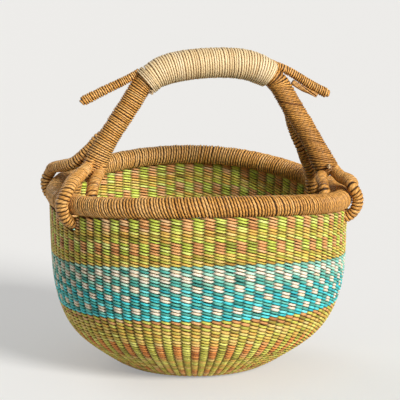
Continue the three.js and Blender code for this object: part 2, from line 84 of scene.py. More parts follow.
def add_object(name, data):
    """Adds a mesh, a camera or a lamp to the scene as an object."""
    made = bpy.data.objects.new(name, data)
    bpy.context.scene.collection.objects.link(made)
    return made


def place_and_turn(thing, place, direction):
    """Puts a camera or a lamp at a place in metres and turns it to look in a direction."""
    thing.location = place
    thing.rotation_mode = "QUATERNION"
    thing.rotation_quaternion = direction.to_track_quat("-Z", "Y")


back = np.array([
    math.sin(CAMERA_AZIMUTH) * math.cos(CAMERA_ELEVATION),
    -math.cos(CAMERA_AZIMUTH) * math.cos(CAMERA_ELEVATION),
    math.sin(CAMERA_ELEVATION),
])
eye = CAMERA_CENTRE + CAMERA_DISTANCE * back
camera_data = bpy.data.cameras.new("camera")
camera_data.lens = camera_data.sensor_width * FOCAL_PIXELS / IMAGE_PIXELS
camera = add_object("camera", camera_data)
place_and_turn(camera, in_metres(eye), Vector(CAMERA_AIM - eye))
bpy.context.scene.camera = camera
print("lens", round(camera_data.lens, 1), "mm")

# %% [markdown]
# ## Sizes
#
# The same sizes as in the CAD model, so that each dressed piece lies on the solid it stands for. The
# rim isn't a flat circle: it rises at the front and the back, dips at the handle, stands a little
# lower at the right and has a small hump at the back right. BELLY is the wall's outline, as shares of
# the way out and of the way up.

# %% Sizes of the basket, in millimetres
RIM_RADIUS = 127
RIM_HEIGHT = 158.2
RIM_ROLL = 9.1
RIM_SADDLE = 6.5
RIM_BACK_LIFT = 4.1
RIM_RIGHT_DROP = 1.7
RIM_HUMP = 3.6
RIM_HUMP_ANGLE = math.radians(57)
WALL = 4.6
WALL_BELOW_ROLL = 0.3
WALL_OUT_OF_RIM = 5.5
BASE_RADIUS = 56
BASE_EDGE_HEIGHT = 6
BASE_LEAN = 4
RIGHT_BELLY = 3
RIGHT_BELLY_TOP = 130
WALL_TOP = RIM_HEIGHT - RIM_ROLL * math.cos(math.pi / 8) - WALL_BELOW_ROLL
WALL_TOP_RADIUS = RIM_RADIUS + WALL_OUT_OF_RIM
UPPER_ZONE = 40
BAND_ZONE = 46.9
BELLY = np.array([
    [0, 0], [0.17, 0.027], [0.549, 0.161], [0.745, 0.268],
    [0.867, 0.401], [0.941, 0.562], [0.976, 0.756], [1, 1],
])
print("wall top", round(WALL_TOP, 2), "mm")

# %% [markdown]
# ## Curves
#
# The outline of the belly and the path of the handle are smooth curves through a few measured points.
# Blender has curve objects for that, but then the strands would need a modifier each. Here the curve
# is worked out with numpy, so that a strand can follow it and cross its neighbours exactly.


# %% Curves through points
def hermite(start, end, start_slope, end_slope, share):
    """Cubic between two points: starts and ends with the given slopes, share runs from 0 to 1."""
    return (
        start
        + start_slope * share
        + (3 * (end - start) - 2 * start_slope - end_slope) * share**2
        + (2 * (start - end) + start_slope + end_slope) * share**3
    )


def even_steps(points, count):
    """The points of a fine polyline at count equal steps of its length, and that length."""
    length = np.append(0, np.cumsum(np.linalg.norm(np.diff(points, axis=0), axis=1)))
    steps = np.linspace(0, length[-1], count)
    return np.stack([np.interp(steps, length, column) for column in points.T], axis=1), length[-1]


def curve_through(knots, count):
    """Centripetal Catmull-Rom curve through the knots, as count points at even steps."""
    knots = np.asarray(knots, float)
    p = np.concatenate([2 * knots[:1] - knots[1:2], knots, 2 * knots[-1:] - knots[-2:-1]])
    root = np.sqrt(np.linalg.norm(np.diff(p, axis=0), axis=1))[:, None]
    u = np.linspace(0, len(knots) - 1, 60 * len(knots))
    i = np.minimum(u.astype(int), len(knots) - 2)
    a, b, c = root[i], root[i + 1], root[i + 2]
    step = (p[i + 2] - p[i + 1]) / b
    start_slope = b * ((p[i + 1] - p[i]) / a - (p[i + 2] - p[i]) / (a + b) + step)
    end_slope = b * (step - (p[i + 3] - p[i + 1]) / (b + c) + (p[i + 3] - p[i + 2]) / c)
    fine = hermite(p[i + 1], p[i + 2], start_slope, end_slope, (u - i)[:, None])
    return even_steps(fine, count)


quarter_circle = [[1, 0, 0], [math.sqrt(0.5), math.sqrt(0.5), 0], [0, 1, 0]]
print("a quarter circle through three knots is", round(curve_through(quarter_circle, 50)[1], 3), "long")

# %% [markdown]
# ## Tubes
#
# Every strand is a flat tube with six sides. It is about two millimetres wide, so more sides wouldn't
# show. A curve with a bevel makes tubes too, but round ones, and their sides can't have their own
# shade. Here two axes are carried along the path, and the tube's ring is laid out on them.


# %% Axes across a path
def unit(vectors):
    """The same directions with length 1."""
    return vectors / np.linalg.norm(vectors, axis=-1, keepdims=True)


def axes_along(points, facing):
    """Two axes across each path in an array (..., steps, 3).

    The first is facing without its part along the path, the second is tangent x first.
    """
    tangent = unit(np.gradient(points, axis=-2))
    first = unit(facing - tangent * np.sum(facing * tangent, axis=-1, keepdims=True))
    return first, np.cross(tangent, first)


# %% Tubes
def tubes(points, first, second, half_first, half_second, sides=6, ring=False):
    """Tubes round paths of shape (tubes, steps, 3).

    Surface = path + half_first cos(angle) first + half_second sin(angle) second.
    Gives vertices, a list of face arrays, and the grain's place on each vertex: millimetres along
    the tube, millimetres across it, and the tube's number.
    """
    count, steps = points.shape[:2]
    turn = 2 * np.pi * (np.arange(sides) + 0.5) / sides
    wide = np.broadcast_to(half_first, (count, steps))[..., None] * np.cos(turn)
    high = np.broadcast_to(half_second, (count, steps))[..., None] * np.sin(turn)
    beside_path = wide[..., None] * first[:, :, None]
    vertices = points[:, :, None] + beside_path + high[..., None] * second[:, :, None]
    index = np.arange(count * steps * sides).reshape(count, steps, sides)
    beside = np.roll(index, -1, axis=2)
    ahead = slice(None) if ring else slice(1, None)
    behind = slice(None) if ring else slice(None, -1)
    shift = -1 if ring else 0
    quads = np.stack([
        index[:, behind],
        beside[:, behind],
        np.roll(beside, shift, axis=1)[:, ahead],
        np.roll(index, shift, axis=1)[:, ahead],
    ], axis=-1).reshape(-1, 4)
    faces = [quads]
    if not ring:
        faces += [index[:, 0, ::-1], index[:, -1]]
    gaps = np.linalg.norm(np.diff(points, axis=1), axis=-1)
    along = np.concatenate([np.zeros((count, 1)), np.cumsum(gaps, axis=1)], axis=1)
    grain = np.stack(np.broadcast_arrays(
        along[..., None], high, np.arange(count)[:, None, None],
    ), axis=-1)
    return vertices.reshape(-1, 3), faces, grain.reshape(-1, 3)


def smoothstep(value, low, high):
    """0 up to low, 1 from high on, and 3 s^2 - 2 s^3 of the share s between them."""
    share = np.clip((value - low) / (high - low), 0, 1)
    return share**2 * (3 - 2 * share)


# %% [markdown]
# ## Dyes
#
# The straw is dyed in bundles before weaving, so each strand is streaky: no two stitches have quite
# the same colour. Each dye is written as a middle, a light and a dark sRGB value, and every stitch
# gets its own mix of them. A colour attribute carries the mix, so that one material serves all dyes.

# %% Dyes
DYES = {
    "lime": ("BCC84A", "E0E688", "8C8E30"),
    "leaf": ("C2BE4C", "E0DE76", "8A822A"),
    "salmon": ("DAA060", "F0CA94", "A86C38"),
    "ochre": ("DAB050", "F0D484", "9C7228"),
    "orange": ("DA8C40", "F0B26A", "9C5A22"),
    "olive": ("CAB64E", "E4D478", "8C782A"),
    "rust": ("C68440", "E2AA6C", "885226"),
    "turquoise": ("44CACC", "8EE8E6", "268E94"),
    "teal": ("56AE9E", "90D4C2", "2E7A6E"),
    "pale_teal": ("8EC2AA", "BEE0CA", "5E947E"),
    "cream": ("E8E0CA", "F0EAD8", "D4C4A2"),
    "golden": ("C88E42", "F2C078", "7A4A1A"),
    "grip": ("DAC090", "E8D4AE", "BA9664"),
    "tan": ("D8B888", "ECD4AC", "A07C4C"),
    # Not a dye of the straw but painted shade, for stakes and bundles that show only in the gaps.
    "shade_brown": ("5A381A", "6A441E", "2C1A08"),
}


def linear(code):
    """sRGB hex to linear light."""
    value = np.array([int(code[k:k + 2], 16) for k in (0, 2, 4)]) / 255
    return np.where(value <= 0.04045, value / 12.92, ((value + 0.055) / 1.055) ** 2.4)


DYE = {name: np.array([linear(code) for code in codes]) for name, codes in DYES.items()}
print(len(DYE), "dyes")


# %% Colours along a strand
def mix_dye(table, tone):
    """Colours from (n, 3 shades, 3) tables: tone 0 is the middle, +1 the light, -1 the dark shade."""
    tone = np.clip(tone, -1, 1)[:, None]
    towards = np.where(tone > 0, table[:, 1], table[:, 2])
    return table[:, 0] + np.abs(tone) * (towards - table[:, 0])


def dyed(name, tone):
    """Colours of one dye for an array of tones."""
    return mix_dye(np.broadcast_to(DYE[name], (len(tone), 3, 3)), tone)


def slow_noise(rng, count, spacing):
    """Random values that change smoothly over about spacing entries."""
    knots = rng.normal(0, 1, int(count / spacing) + 3)
    return np.interp(np.arange(count) / spacing, np.arange(len(knots)), knots)


# %% Light and dark sides
# Painted shade: the share of red, green and blue light that comes out of a gap between two strands.
# Each bounce off straw takes away more blue than red, so gaps are a warm brown and not grey.
FLANK = np.array([0.26, 0.18, 0.13])
BRIGHTEST = 0.93


def shaded(colour, crest=1.4, inside=1.5, flank=1):
    """Ring colours (n, 3) on the six sides of each ring: light on the crests, dark on the flanks.

    This is painted light and shade: neighbouring strands keep the light from each other.
    A colour that would pass BRIGHTEST is scaled down as a whole, which keeps its hue.
    """
    flank = flank * FLANK
    sides = np.stack(np.broadcast_arrays(crest, flank, inside, inside, flank, crest), axis=-2)
    bright = (colour[:, None] * sides).reshape(-1, 3)
    return bright * np.minimum(BRIGHTEST / bright.max(axis=1, keepdims=True), 1)


print("sides of a golden strand", shaded(DYE["golden"][:1]).round(2).tolist()[:3])

# %% [markdown]
# ## Straw
#
# The real stuff is dry grass, split, twisted into strand and dyed or left as it is: matt, a little
# silky along its fibres. A photo of straw on a UV map would do, but the strands cross and bend, and
# its seams would show. Here the pattern reads the attribute grain, which holds millimetres along and
# across each strand, so it follows every bend. The fibres are noise, about 6 mm long and 0.4 mm wide,
# which is coarser than the real ones, so that they show. The twist is a wave, one line every 4.2 mm.


# %% Node helpers
def add_node(tree, kind, inputs=None, **settings):
    """Adds one node. Inputs are values, or sockets to link from."""
    made = tree.nodes.new(kind)
    for name, value in settings.items():
        setattr(made, name, value)
    for name, value in (inputs or {}).items():
        if isinstance(value, bpy.types.NodeSocket):
            tree.links.new(value, made.inputs[name])
        else:
            made.inputs[name].default_value = value
    return made


def empty_tree(owner):
    """Switches on the nodes of a material or a world and clears them."""
    owner.use_nodes = True
    owner.node_tree.nodes.clear()
    return owner.node_tree


# %% Straw material
STREAK_LENGTH = 6.25
STREAKS_PER_MM = 2.6
STREAK_OFFSET = 5.3
STREAK_HEIGHT = 0.0004
PLY_LENGTH = 4.2
PLY_SLANT = 0.3
PLY_OFFSET = 1.7
FULL_TURN = 6.28


def straw_material(name, roughness, streaks, ply_shade):
    """Twisted straw, coloured by the attribute dye, with streaks that darken it and raise it.

    streaks says how far the fibres differ, from 0 to 1. Dark slanting lines of painted shade, which the
    bump also sinks, part the twisted plies where sin(2 pi (along / PLY_LENGTH + PLY_SLANT across)) is
    low, and ply_shade is how dark they are. The offsets move both patterns from one strand to the next,
    so that no two strands match.
    """
    material = bpy.data.materials.new(name)
    tree = empty_tree(material)
    # The attribute dye holds the straw's dye together with its painted light and shade.
    dye = add_node(tree, "ShaderNodeAttribute", attribute_name="dye")
    grain = add_node(tree, "ShaderNodeAttribute", attribute_name="grain")
    fibre_scale = (1 / STREAK_LENGTH, STREAKS_PER_MM, STREAK_OFFSET)
    fibres = add_node(
        tree, "ShaderNodeVectorMath", {0: grain.outputs["Vector"], 1: fibre_scale},
        operation="MULTIPLY",
    )
    streak = add_node(
        tree, "ShaderNodeTexNoise", {"Vector": fibres.outputs["Vector"], "Scale": 1.0, "Detail": 3.0},
    )
    shade = add_node(
        tree, "ShaderNodeMapRange",
        {"Value": streak.outputs["Fac"], 1: 0.3, 2: 0.72, 3: 1 - streaks, 4: 1 + streaks * 0.55},
    )
    ply_scale = (FULL_TURN / PLY_LENGTH, FULL_TURN * PLY_SLANT, PLY_OFFSET)
    phase = add_node(
        tree, "ShaderNodeVectorMath", {0: grain.outputs["Vector"], 1: ply_scale},
        operation="DOT_PRODUCT",
    )
    wave = add_node(tree, "ShaderNodeMath", {0: phase.outputs["Value"]}, operation="SINE")
    between_plies = add_node(
        tree, "ShaderNodeMapRange", {"Value": wave.outputs["Value"], 1: -1.0, 2: 0.1, 3: 1 - ply_shade, 4: 1.0},
    )
    both = add_node(
        tree, "ShaderNodeMath", {0: shade.outputs["Result"], 1: between_plies.outputs["Result"]},
        operation="MULTIPLY",
    )
    colour = add_node(
        tree, "ShaderNodeVectorMath", {0: dye.outputs["Color"], "Scale": both.outputs["Value"]},
        operation="SCALE",
    )
    bump = add_node(
        tree, "ShaderNodeBump",
        {"Height": both.outputs["Value"], "Strength": 0.6, "Distance": STREAK_HEIGHT},
    )
    surface = add_node(tree, "ShaderNodeBsdfPrincipled", {
        "Base Color": colour.outputs["Vector"],
        "Normal": bump.outputs["Normal"],
        "Roughness": roughness,
        "IOR": 1.45,
    })
    add_node(tree, "ShaderNodeOutputMaterial", {"Surface": surface.outputs["BSDF"]})
    return material


# %% The four kinds of straw
# Grass straw, twisted, dyed in a bath and twined: the dye dulls its wax, so highlights are broad and
# weak, and the twist hardly shows.
dyed_straw = straw_material("dyed_straw_twined", 0.58, 0.28, 0.15)
# Grass straw, twisted hard and wound wet under tension: it shines a little more, its fibres take the
# stain unevenly, and painted shade darkens the lines where the plies meet.
wound_straw = straw_material("golden_straw_wound", 0.5, 0.34, 0.4)
# Undyed straw, finer and wound close: even and light, with only a faint twist.
pale_straw = straw_material("pale_straw_wound", 0.5, 0.2, 0.18)
# Loose dry straw in a bundle, as it was cut: dull, with no twist, seen only in the gaps in painted shade.
bundled_straw = straw_material("bundled_straw_in_shade", 0.8, 0.3, 0)
print("materials", [material.name for material in bpy.data.materials])


# %% [markdown]
# ## From arrays to a piece
#
# Each piece is one mesh at the origin, with its place in its vertices, because the export moves every
# object there. Adding faces one by one would be slow for hundreds of thousands of them, so vertices,
# faces and attributes go in as whole arrays with foreach_set.


# %% Piece maker
def make_piece(name, parts, body, material, nodes=()):
    """Joins parts, each (vertices, faces, grain, dye), into one mesh in metres on a CAD body."""
    starts = np.cumsum([0] + [len(part[0]) for part in parts])
    faces = [array + start for part, start in zip(parts, starts) for array in part[1]]
    corners = np.concatenate([array.ravel() for array in faces])
    sizes = np.concatenate([np.full(len(array), array.shape[1]) for array in faces])
    mesh = bpy.data.meshes.new(name)
    mesh.vertices.add(starts[-1])
    mesh.vertices.foreach_set("co", in_metres(np.concatenate([p[0] for p in parts])).ravel())
    mesh.loops.add(len(corners))
    mesh.loops.foreach_set("vertex_index", corners)
    mesh.polygons.add(len(sizes))
    mesh.polygons.foreach_set("loop_start", np.append(0, np.cumsum(sizes)[:-1]))
    mesh.update(calc_edges=True)
    mesh.validate()
    mesh.shade_smooth()
    grain = np.concatenate([p[2] for p in parts])
    # Each vertex's colour is its dye with painted light and shade: light crests, shaded flanks and gaps.
    dye = np.concatenate([p[3] for p in parts])
    mesh.attributes.new("grain", "FLOAT_VECTOR", "POINT").data.foreach_set("vector", grain.ravel())
    rgba = np.concatenate([dye, np.ones((len(dye), 1))], axis=1)
    mesh.attributes.new("dye", "FLOAT_COLOR", "POINT").data.foreach_set("color", rgba.ravel())
    mesh.materials.append(material)
    piece = add_object(name, mesh)
    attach(piece, body)
    if nodes:
        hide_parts(*nodes)
    print(name, int(np.sum(sizes - 2)), "triangles")


# %% [markdown]
# ## The bowl's surface
#
# A point of the bowl is given by how far up it lies along the outline, the angle round the axis,
# and its depth in the wall. The even bowl is then settled: its rows follow the rim's rise and dip,
# and its foot stands a little to the left, as in the photograph.

# %% The outline of the belly
OUTLINE_STEPS = 1200
step = np.linspace(0, len(BELLY) - 1, OUTLINE_STEPS)
knot = np.minimum(step.astype(int), len(BELLY) - 2)
padded = np.concatenate([BELLY[:1], BELLY, BELLY[-1:]])
belly_curve = hermite(
    padded[knot + 1],
    padded[knot + 2],
    (padded[knot + 2] - padded[knot]) / 2,
    (padded[knot + 3] - padded[knot + 1]) / 2,
    (step - knot)[:, None],
)
profile = np.stack([
    BASE_RADIUS + (WALL_TOP_RADIUS - BASE_RADIUS) * belly_curve[:, 0],
    WALL_TOP * belly_curve[:, 1],
], axis=1)
profile, WALL_LENGTH = even_steps(profile, OUTLINE_STEPS)
up_wall = np.linspace(0, WALL_LENGTH, OUTLINE_STEPS)
outline_up = np.append(-BASE_RADIUS, up_wall)
outline = np.concatenate([[[0, 0]], profile])
slope = unit(np.gradient(profile, axis=0))
outward = np.concatenate([[[0, -1]], np.stack([slope[:, 1], -slope[:, 0]], axis=1)])
print("wall length", round(WALL_LENGTH, 1), "mm")


# %% The bowl as a function
def rim_wave(angle):
    """Lift of the rim at an angle round the basket: a saddle, a higher back, a lower right, a hump."""
    lift = RIM_BACK_LIFT * np.sin(angle) - RIM_RIGHT_DROP * np.cos(angle)
    hump = RIM_HUMP * np.maximum(np.cos(angle - RIM_HUMP_ANGLE), 0) ** 4
    return lift + hump - RIM_SADDLE * np.cos(2 * angle)


def bowl(up, angle, depth):
    """Points of the bowl, and the outward direction there.

    up is the length along the outline from the base's edge, negative on the base. depth is measured
    from the middle of the wall, outwards. The even bowl is the outline turned round the axis. Its
    rows take up the rim's wave by (height / height of the band's top) to the power 1.5, its foot is
    shifted to the left, and its right side bulges by half a sine wave over the height.
    """
    up, angle = np.broadcast_arrays(up, angle)
    normal_r = np.interp(up, outline_up, outward[:, 0])
    normal_z = np.interp(up, outline_up, outward[:, 1])
    out = depth - WALL / 2
    r = np.interp(up, outline_up, outline[:, 0]) + out * normal_r
    z = np.interp(up, outline_up, outline[:, 1]) + out * normal_z
    share = np.clip(z / (WALL_TOP - UPPER_ZONE), 0, 1) ** 1.5
    lean = BASE_LEAN * np.maximum(1 - z / RIM_HEIGHT, 0)
    bulge = RIGHT_BELLY * np.sin(np.pi * np.clip(z / RIGHT_BELLY_TOP, 0, 1))
    points = np.stack([
        r * np.cos(angle) - lean + bulge * np.maximum(np.cos(angle), 0) ** 2,
        r * np.sin(angle),
        z + share * rim_wave(angle),
    ], axis=-1)
    normals = np.stack([normal_r * np.cos(angle), normal_r * np.sin(angle), normal_z], axis=-1)
    return points, normals


# %% Where the zones meet
def up_at_height(height):
    """Length up the outline of the even bowl at a height."""
    return float(np.interp(height, profile[:, 1], up_wall))


UP_BAND_TOP = up_at_height(WALL_TOP - UPPER_ZONE)
UP_BAND_BOTTOM = up_at_height(WALL_TOP - UPPER_ZONE - BAND_ZONE)
UP_BASE_EDGE = up_at_height(BASE_EDGE_HEIGHT)
print("band from", round(UP_BAND_BOTTOM, 1), "to", round(UP_BAND_TOP, 1), "mm up the outline")

# %% [markdown]
# ## Twining
#
# Two strands go round together. At each stake one lies in front and the other behind, and between
# two stakes they swap. A picture of weave on a smooth bowl would be quicker, but its outline would
# be smooth, and it couldn't cast shadows between the stitches.
#
# So a strand's depth swings like a cosine over the stakes, and each stitch is a lens that slants down
# to the right: thick in front of its stake and thin where the two strands cross, which leaves a groove
# between the columns, darkened further by painted shade. The rows climb as one spiral, which starts
# at the back. Under the rim they end at the slots of the handle's loops.

# %% Slots for the loops
LOOP_ANGLES = {
    "right_front_loop": math.radians(-23),
    "right_back_loop": math.radians(12),
    "left_back_loop": math.radians(156),
    "left_front_loop": math.radians(203),
}
SLOT_DEPTH = 13.2
SLOT_HALF = 7.3
SLOT_LEFT = 0.03


def beside_slots(below, angle):
    """Share of a strand's size that is left: SLOT_LEFT inside a loop's slot, 1 outside it.

    A slot has straight sides and a round bottom. below is the length down from the wall's top.
    """
    left = np.ones(np.broadcast(below, angle).shape)
    for loop_angle in LOOP_ANGLES.values():
        beside = WALL_TOP_RADIUS * np.abs((angle - loop_angle + np.pi) % (2 * np.pi) - np.pi)
        distance = np.hypot(beside, np.maximum(below - SLOT_DEPTH + SLOT_HALF, 0))
        left = np.minimum(left, smoothstep(distance, SLOT_HALF - 0.6, SLOT_HALF + 1))
    return SLOT_LEFT + (1 - SLOT_LEFT) * left


print("a loop's slot is", 2 * SLOT_HALF, "mm wide and", SLOT_DEPTH, "mm deep")

# %% Twined rows
STAKES = 90
STEPS_PER_STAKE = 4
STITCH_THICK = 1.15
STITCH_DROP = 0.9
STITCH_SHARPNESS = 1.5
STITCH_NARROW = 0.35
STITCH_SWELL = 0.09
STITCH_UNEVEN = 0.09
ROW_WANDER = 0.1
TOP_ROW = 0.4
# Painted light and shade of a twined strand: how light it is on its crest, on the wall's inside, on its
# flanks, and on cream flanks, which let more light through.
TWINED_CREST = 1.36
TWINED_INSIDE = 1.5
TWINED_FLANK = 1.9
CREAM_EXTRA = 1.6


def twined_strand(top, bottom, stakes, partner, dyes, seed, groove_shade, reach):
    """One strand of a pair over the rows of a zone, between two lengths up the outline.

    t counts stakes, and with s = STITCH_SHARPNESS the depth is reach tanh(s cos(pi t)) / tanh(s) and
    the strand rises by -STITCH_DROP sin(pi t). partner is 0 for one strand, and 1 for the other, which
    has the other sign. groove_shade is painted shade: how far a strand darkens where it goes behind.
    dyes holds one dye for each row, from the top down.
    """
    rows = len(dyes)
    sign = -1 if partner else 1
    t = np.arange(rows * stakes * STEPS_PER_STAKE + 1) / STEPS_PER_STAKE
    angle = np.pi / 2 + 2 * np.pi * t / stakes
    pitch = (top - bottom) / rows
    row = rows - t / stakes
    swing = sign * np.cos(np.pi * t)
    depth = reach * np.tanh(STITCH_SHARPNESS * swing) / math.tanh(STITCH_SHARPNESS)
    rise = -sign * STITCH_DROP * np.sin(np.pi * t)
    rng = np.random.default_rng(seed)
    stitch = np.round(t).astype(int)
    count = stitch[-1] + 1
    wander = rng.normal(0, ROW_WANDER, count)[stitch]
    below = WALL_LENGTH - top + pitch * np.maximum(row, TOP_ROW) - rise + wander
    left = beside_slots(below, angle)
    centre, normal = bowl(WALL_LENGTH - below, angle, depth)
    first, second = axes_along(centre, normal)
    uneven = 1 + rng.normal(0, STITCH_UNEVEN, count)[stitch]
    wide = pitch * left * (STITCH_NARROW + STITCH_SWELL * np.abs(swing)) * uneven
    tone = 0.34 * rng.normal(0, 1, count) + 0.26 * slow_noise(rng, count, 9)
    in_row = np.clip(np.ceil(row).astype(int) - 1, 0, rows - 1)
    table = np.array([DYE[name] for name in dyes])[in_row]
    # Painted shade: the strand is darker where it passes between the stakes, in the grooves between the
    # columns.
    painted_groove_shade = 1 - groove_shade + groove_shade * smoothstep(np.abs(depth) / reach, 0.1, 0.9)
    colour = mix_dye(table, tone[stitch]) * painted_groove_shade[:, None]
    vertices, faces, grain = tubes(centre[None], first[None], second[None], STITCH_THICK * left, wide)
    grain[:, 2] = seed
    flank = TWINED_FLANK + CREAM_EXTRA * (np.array(dyes) == "cream")[in_row, None]
    return vertices, faces, grain, shaded(colour, TWINED_CREST, TWINED_INSIDE, flank)


# %% A zone of rows
def twined_zone(name, top, bottom, stakes, dyes, seed, nodes=(), groove_shade=0.7, reach=1.15):
    """Both strands of a zone as one piece. dyes holds the rows of one strand and of its partner."""
    parts = [
        twined_strand(top, bottom, stakes, partner, dyes[partner], seed + partner, groove_shade, reach)
        for partner in (0, 1)
    ]
    make_piece(name, parts, "basket", dyed_straw, nodes)


print("columns are", round(2 * np.pi * WALL_TOP_RADIUS / STAKES, 1), "mm apart at the wall's top")


# %% [markdown]
# ## Colours of the rows
#
# The even stakes show one strand of the pair and the odd stakes the other, so two dyes in a row give
# upright stripes. A cream strand in two rows running gives a row of short spots, and giving the
# cream to the other strand in the next two rows staggers them. The rows are written out from the top
# down, one list for each strand of the pair.

# %% The upper wall
WALL_REACH = 1.5
upper_dyes = (
    ["lime"] * 4 + ["leaf", "olive", "leaf", "lime"]
    + ["salmon"] * 4 + ["olive", "leaf", "ochre", "olive"],
    ["salmon"] * 4 + ["ochre", "ochre", "olive", "ochre"]
    + ["lime"] * 4 + ["ochre", "olive", "leaf", "ochre"],
)
twined_zone("upper_wall_rows", WALL_LENGTH, UP_BAND_TOP, STAKES, upper_dyes, 11,
            ["upper_wall_weave"], 0.66, WALL_REACH)


# %% The turquoise band
def turquoise_rows(**others):
    """Seventeen rows of turquoise, with rows of other dyes at the numbers given for them."""
    rows = ["turquoise"] * 17
    for dye, numbers in others.items():
        for number in numbers:
            rows[number] = dye
    return rows


band_dyes = (
    turquoise_rows(cream=(1, 2, 6, 7, 13, 14), teal=(4, 5, 8, 11, 15), pale_teal=(0, 3)),
    turquoise_rows(cream=(3, 4, 9, 10), teal=(1, 6, 8, 12, 14), pale_teal=(0, 2, 5)),
)
twined_zone("turquoise_band_rows", UP_BAND_TOP, UP_BAND_BOTTOM, STAKES, band_dyes, 21,
            ["turquoise_band_weave"], 0.68, WALL_REACH)

# %% The lower wall and the foot
LOWER_MIDDLE = 0.5 * (UP_BAND_BOTTOM + UP_BASE_EDGE)
lower_dyes = (
    ["salmon", "olive", "ochre", "olive", "ochre", "olive", "ochre", "ochre"] + ["orange"] * 4,
    ["leaf", "salmon", "leaf", "ochre", "olive", "leaf", "olive", "leaf"] + ["leaf"] * 4,
)
foot_dyes = (
    ["orange", "rust", "ochre", "olive", "leaf", "olive"]
    + ["ochre", "olive", "ochre", "rust", "rust", "salmon"],
    ["leaf", "leaf", "leaf", "ochre", "olive", "leaf"]
    + ["olive", "ochre", "leaf", "leaf", "olive", "olive"],
)
twined_zone("lower_wall_rows", UP_BAND_BOTTOM, LOWER_MIDDLE, STAKES, lower_dyes, 31,
            ["lower_wall_weave"], 0.76, WALL_REACH)
twined_zone("foot_rows", LOWER_MIDDLE, UP_BASE_EDGE, STAKES, foot_dyes, 41, (), 0.8,
            WALL_REACH)

# %% [markdown]
# ## Base
#
# The base is twined in the same way, from the middle out. Fewer stakes run there, and new ones are
# added as the rows get longer. One loop over a table of rings does it, as only the numbers change:
# where a ring starts and ends along the outline, its stakes, its rows and its seed.

# %% The base, ring by ring
for name, top, bottom, stakes, rows, seed in (
    ("base_edge_rows", UP_BASE_EDGE, -6, STAKES, 10, 51),
    ("base_outer_rows", -6, -30, 46, 10, 53),
    ("base_middle_rows", -30, -45, 24, 6, 55),
    ("base_centre_rows", -45, -54.5, 12, 4, 57),
):
    dyes = (["salmon", "olive", "rust"] * 4)[:rows], (["leaf", "leaf", "olive", "olive"] * 3)[:rows]
    nodes = ["base_weave"] if name == "base_outer_rows" else []
    twined_zone(name, top, bottom, stakes, dyes, seed, nodes)

# %% [markdown]
# ## Stakes
#
# The rows hide the stakes, but a stake fills each column and shows between the stitches. Its colour
# is painted shade: dark brown, and a darkened teal in the band, so that the gaps look shadowed. Each
# stake is a flat tube in the middle of the wall, a little wider than its share of the way round, so
# that no light gets through.

# %% Ninety stakes
STAKE_START = 6
STAKE_STEPS = 64
STAKE_OVERLAP = 1.03
STAKE_THICK = 0.5
BAND_GAP_SHADE = 0.3
up = np.linspace(-BASE_RADIUS + STAKE_START, WALL_LENGTH, STAKE_STEPS)
angle = np.pi / 2 + 2 * np.pi * np.arange(STAKES)[:, None] / STAKES
centre, normal = bowl(up, angle, 0)
first, second = axes_along(centre, normal)
radius = np.linalg.norm(centre[..., :2], axis=-1)
left = beside_slots(WALL_LENGTH - up, angle)
half_width = np.clip(radius * np.pi / STAKES * STAKE_OVERLAP, 0.3, 5) * left
vertices, faces, grain = tubes(centre, first, second, STAKE_THICK * left, half_width)
in_band = (up > UP_BAND_BOTTOM) & (up < UP_BAND_TOP)
# Painted shade: the stakes show only in the gaps between stitches, so they are coloured as shadow.
gap_shade = np.where(in_band[:, None], BAND_GAP_SHADE * DYE["teal"][2], DYE["shade_brown"][0])
stake_gap_shade = np.tile(np.repeat(gap_shade, 6, axis=0), (STAKES, 1))
make_piece("stakes", [(vertices, faces, grain, stake_gap_shade)], "basket", bundled_straw)

# %% [markdown]
# ## Winding
#
# The rim and the handle are bundles of straw with straw wound round them. One long strand is carried
# round the bundle as a helix, flattened against it. A ridged tube would look like a hose. No two
# turns of straw lie quite alike, so each turn gets its own width, slant and shade, and here and there
# the bundle, coloured dark as painted shade, shows between two turns.


# %% Winding helper
WIDTH_UNEVEN = 0.09
LIFT_UNEVEN = 0.16
LEAN_SETS_IN = 18
BUNDLE_DEPTH = 1.3
BUNDLE_SIDES = 16


